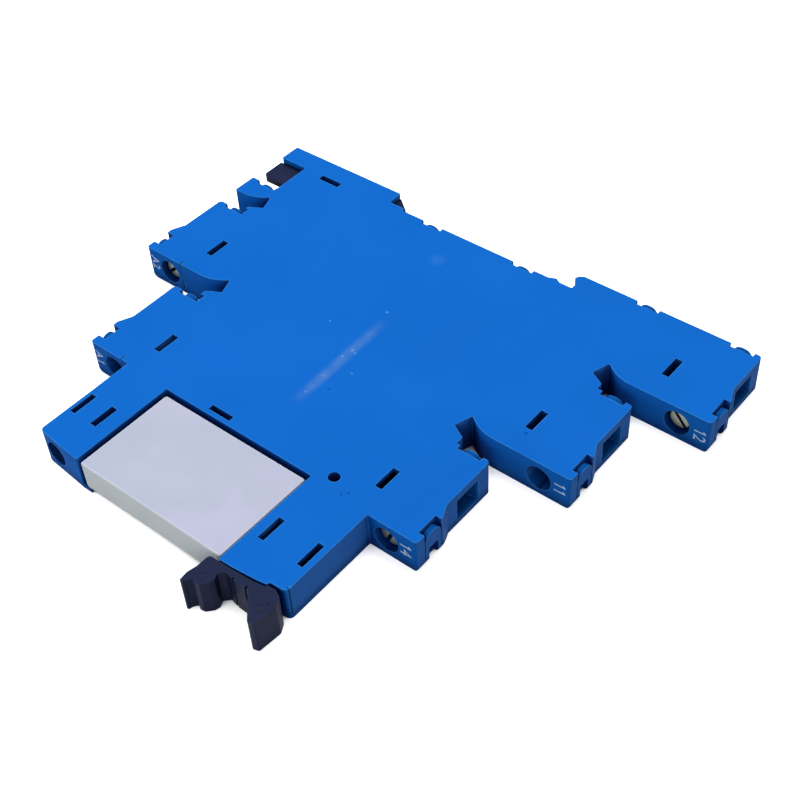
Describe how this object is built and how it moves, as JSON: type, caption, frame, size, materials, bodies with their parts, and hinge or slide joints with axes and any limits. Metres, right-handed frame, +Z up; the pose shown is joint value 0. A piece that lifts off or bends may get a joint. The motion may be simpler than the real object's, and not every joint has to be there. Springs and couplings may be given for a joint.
{
  "type": "slim rail-mount relay interface module",
  "caption": "Slim blue relay module for a mounting rail, with stepped screw terminals, a plug-in relay held by a swinging lever, and a sliding rail hook.",
  "frame": {"origin": "middle of the overall plan, on the flat lower side", "axes": "+X along the rail towards the changeover terminals, +Y from the relay end towards the rail, +Z up through the thickness"},
  "size_m": [0.0966, 0.0832, 0.0062],
  "materials": {
    "blue_plastic": "satin moulded polyamide",
    "dark_plastic": "satin moulded, very dark blue",
    "lens": "glossy tinted plastic",
    "led_epoxy": "clear epoxy",
    "board": "green solder resist",
    "component_body": "lacquered",
    "plated_steel": "zinc plated",
    "zinc_screw": "zinc plated, dull",
    "contact_metal": "rolled copper alloy",
    "relay_case_plastic": "smooth pale grey moulded",
    "bobbin_plastic": "natural moulded",
    "copper_wire": "enamelled wire",
    "soft_iron": "bright iron"
  },
  "bodies": {
    "housing": {"housing_shell": "blue_plastic", "housing_cover": "blue_plastic", "indicator_lens": "lens", "indicator_led": "led_epoxy", "circuit_board": "board", "series_resistor": "component_body", "protection_diode": "component_body", "clamp_cage_14": "plated_steel", "clamp_cage_11": "plated_steel", "clamp_cage_12": "plated_steel", "clamp_cage_a1": "plated_steel", "clamp_cage_a2": "plated_steel", "contact_strip_14": "contact_metal", "contact_strip_11": "contact_metal", "contact_strip_12": "contact_metal", "contact_strip_a1": "contact_metal", "contact_strip_a2": "contact_metal", "coil_socket_1": "contact_metal", "coil_socket_2": "contact_metal"},
    "lever": {"retaining_lever": "dark_plastic"},
    "slider": {"rail_slider": "dark_plastic"},
    "relay": {"relay_case": "relay_case_plastic", "relay_base": "relay_case_plastic", "coil_pin_1": "contact_metal", "coil_pin_2": "contact_metal", "common_contact": "contact_metal", "break_contact": "contact_metal", "make_contact": "contact_metal", "coil_bobbin": "bobbin_plastic", "coil_winding": "copper_wire", "coil_core": "soft_iron", "relay_yoke": "soft_iron"},
    "armature": {"relay_armature": "soft_iron"},
    "card": {"actuator_card": "bobbin_plastic"},
    "blade": {"contact_blade": "contact_metal"},
    "plate_14": {"clamp_plate_14": "plated_steel"},
    "screw_14": {"clamp_screw_14": "zinc_screw"},
    "plate_11": {"clamp_plate_11": "plated_steel"},
    "screw_11": {"clamp_screw_11": "zinc_screw"},
    "plate_12": {"clamp_plate_12": "plated_steel"},
    "screw_12": {"clamp_screw_12": "zinc_screw"},
    "plate_a1": {"clamp_plate_a1": "plated_steel"},
    "screw_a1": {"clamp_screw_a1": "zinc_screw"},
    "plate_a2": {"clamp_plate_a2": "plated_steel"},
    "screw_a2": {"clamp_screw_a2": "zinc_screw"}
  },
  "joints": [
    {"name": "lever_swing", "type": "hinge", "parent": "housing", "child": "lever", "pos_m": [0.0176, -0.03164, 0.00305], "axis": [0, 0, 1], "range_deg": [0, 18]},
    {"name": "relay_lift", "type": "slide", "parent": "housing", "child": "relay", "axis": [0, -1, 0], "range_m": [0, 0.00295]},
    {"name": "slider_lock", "type": "slide", "parent": "housing", "child": "slider", "axis": [1, 0, 0], "range_m": [0, 0.0026]},
    {"name": "armature_tilt", "type": "hinge", "parent": "relay", "child": "armature", "pos_m": [-0.00505, -0.02974, 0.0035], "axis": [0, 0, 1], "range_deg": [0, 4.8], "stiffness_Nm_per_rad": 0.001},
    {"name": "card_push", "type": "slide", "parent": "relay", "child": "card", "axis": [1, 0, 0], "range_m": [0, 0.0004]},
    {"name": "blade_flex", "type": "hinge", "parent": "relay", "child": "blade", "pos_m": [0.0007, -0.02153, 0.0031], "axis": [0, 0, 1], "range_deg": [0, 1.7]},
    {"name": "plate_travel_14", "type": "slide", "parent": "housing", "child": "plate_14", "axis": [0, 1, 0], "range_m": [0, 0.0025]},
    {"name": "screw_turn_14", "type": "hinge", "parent": "plate_14", "child": "screw_14", "pos_m": [0.0229, -0.01803, 0.00305], "axis": [0, 1, 0], "range_deg": [0, 1800]},
    {"name": "plate_travel_11", "type": "slide", "parent": "housing", "child": "plate_11", "axis": [0, 1, 0], "range_m": [-0.0025, 0]},
    {"name": "screw_turn_11", "type": "hinge", "parent": "plate_11", "child": "screw_11", "pos_m": [0.033, 0.00366, 0.00305], "axis": [0, 1, 0], "range_deg": [-1800, 0]},
    {"name": "plate_travel_12", "type": "slide", "parent": "housing", "child": "plate_12", "axis": [0, 1, 0], "range_m": [0, 0.0025]},
    {"name": "screw_turn_12", "type": "hinge", "parent": "plate_12", "child": "screw_12", "pos_m": [0.04285, 0.02466, 0.00305], "axis": [0, 1, 0], "range_deg": [0, 1800]},
    {"name": "plate_travel_a1", "type": "slide", "parent": "housing", "child": "plate_a1", "axis": [0, 1, 0], "range_m": [-0.0025, 0]},
    {"name": "screw_turn_a1", "type": "hinge", "parent": "plate_a1", "child": "screw_a1", "pos_m": [-0.0331, -0.01693, 0.00305], "axis": [0, 1, 0], "range_deg": [-1800, 0]},
    {"name": "plate_travel_a2", "type": "slide", "parent": "housing", "child": "plate_a2", "axis": [0, 1, 0], "range_m": [0, 0.0025]},
    {"name": "screw_turn_a2", "type": "hinge", "parent": "plate_a2", "child": "screw_a2", "pos_m": [-0.04335, 0.00487, 0.00305], "axis": [0, 1, 0], "range_deg": [0, 1800]}
  ],
  "couplings": [
    {"joint": "lever_swing", "follows": "relay_lift", "rad_per_m": 106.38},
    {"joint": "card_push", "follows": "armature_tilt", "m_per_rad": 0.004},
    {"joint": "blade_flex", "follows": "armature_tilt", "ratio": 0.328},
    {"joint": "screw_turn_14", "follows": "plate_travel_14", "rad_per_m": 12566},
    {"joint": "screw_turn_11", "follows": "plate_travel_11", "rad_per_m": 12566},
    {"joint": "screw_turn_12", "follows": "plate_travel_12", "rad_per_m": 12566},
    {"joint": "screw_turn_a1", "follows": "plate_travel_a1", "rad_per_m": 12566},
    {"joint": "screw_turn_a2", "follows": "plate_travel_a2", "rad_per_m": 12566}
  ]
}
